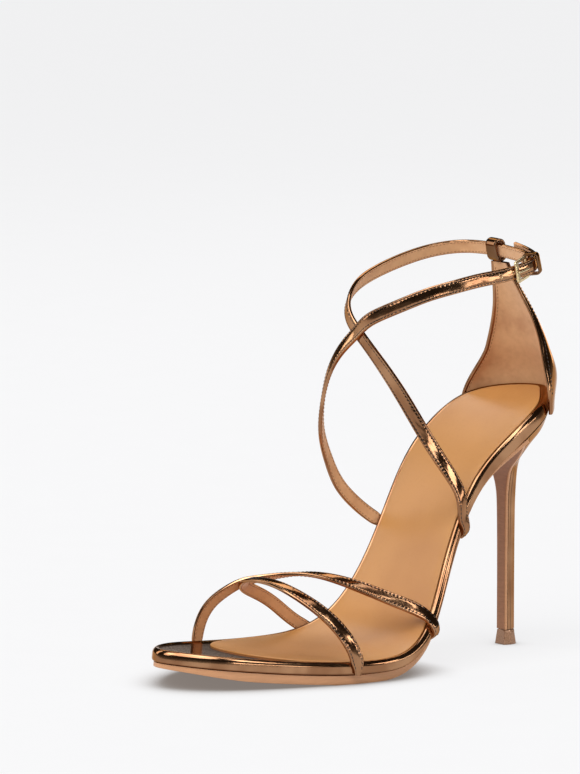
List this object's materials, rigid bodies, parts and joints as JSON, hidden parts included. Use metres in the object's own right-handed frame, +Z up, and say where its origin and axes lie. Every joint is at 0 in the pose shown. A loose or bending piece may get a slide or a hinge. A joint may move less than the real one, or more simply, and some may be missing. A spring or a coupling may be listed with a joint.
{
  "type": "strappy heeled sandal",
  "caption": "Left women's sandal with crossed narrow straps over toes and ankle, a tall closed heel counter, a buckle and a high slender heel.",
  "frame": {"origin": "middle of the heel tip's flat underside, on the floor", "axes": "+Z up, toes towards -Y, outer side of the foot towards +X"},
  "size_m": [0.0807, 0.2052, 0.1742],
  "materials": {
    "bronze_leather": "metallic mirror gloss",
    "tan_leather": "satin",
    "sole_leather": "satin",
    "gilt": "polished",
    "tip": "satin"
  },
  "bodies": {
    "root": {"insole": "bronze_leather", "sock": "tan_leather", "outsole": "sole_leather", "heel": "bronze_leather", "top_piece": "tip", "toe_straps": "bronze_leather", "ankle_straps": "bronze_leather", "counter": "bronze_leather", "counter_loop": "bronze_leather", "keeper": "bronze_leather", "buckle": "gilt", "prong": "gilt"}
  },
  "joints": []
}
